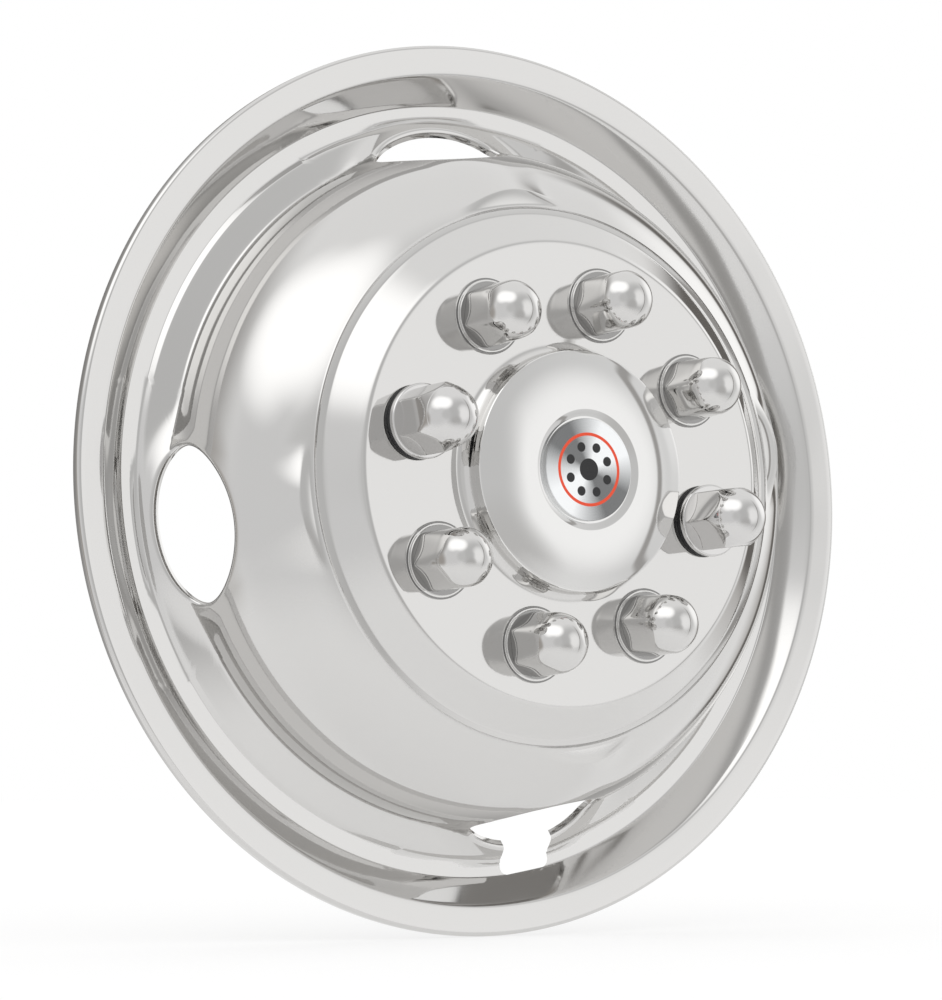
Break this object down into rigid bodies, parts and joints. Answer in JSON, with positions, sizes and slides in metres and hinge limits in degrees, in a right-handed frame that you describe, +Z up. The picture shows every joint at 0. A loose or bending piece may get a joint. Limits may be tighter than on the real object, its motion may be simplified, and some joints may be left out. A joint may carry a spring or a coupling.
{
  "type": "truck wheel simulator",
  "caption": "Polished front wheel simulator with a raised lug face, hand holes, fixed lug covers, captive lock nuts and a crowned hub cover.",
  "frame": {"origin": "on the wheel's axis, in the plane of the two lock nuts' mouths, where the studs enter", "axes": "+Y along the wheel's axis from the front towards the wheel, the face looks to -Y; +Z up, with the valve slot near the bottom"},
  "size_m": [0.4336, 0.1222, 0.4336],
  "materials": {
    "liner_steel": "mirror-polished stainless sheet",
    "hub_steel": "mirror-polished stainless sheet",
    "badge": "spun-brushed disc, bare",
    "cover_steel": "mirror-polished stainless sheet",
    "spring_steel": "plain spring steel",
    "nut_chrome": "bright chrome plate",
    "seal_rubber": "matt black"
  },
  "bodies": {
    "simulator": {"wheel_liner": "liner_steel", "hub_cover": "hub_steel", "badge": "badge", "lug_cover_1": "cover_steel", "lug_cover_2": "cover_steel", "lug_cover_3": "cover_steel", "lug_cover_4": "cover_steel", "lug_cover_5": "cover_steel", "lug_cover_6": "cover_steel", "cover_ring_1": "spring_steel", "cover_ring_2": "spring_steel", "cover_ring_3": "spring_steel", "cover_ring_4": "spring_steel", "cover_ring_5": "spring_steel", "cover_ring_6": "spring_steel"},
    "lock_nut_1": {"lock_nut_1": "nut_chrome", "nut_seal_1": "seal_rubber", "nut_clip_1": "spring_steel"},
    "lock_nut_2": {"lock_nut_2": "nut_chrome", "nut_seal_2": "seal_rubber", "nut_clip_2": "spring_steel"}
  },
  "joints": [
    {"name": "lock_nut_1_turn", "type": "hinge", "parent": "simulator", "child": "lock_nut_1", "pos_m": [-0.08043, 0, 0.01857], "axis": [0, 1, 0], "continuous": true},
    {"name": "lock_nut_2_turn", "type": "hinge", "parent": "simulator", "child": "lock_nut_2", "pos_m": [0.08043, 0, -0.01857], "axis": [0, 1, 0], "continuous": true}
  ]
}
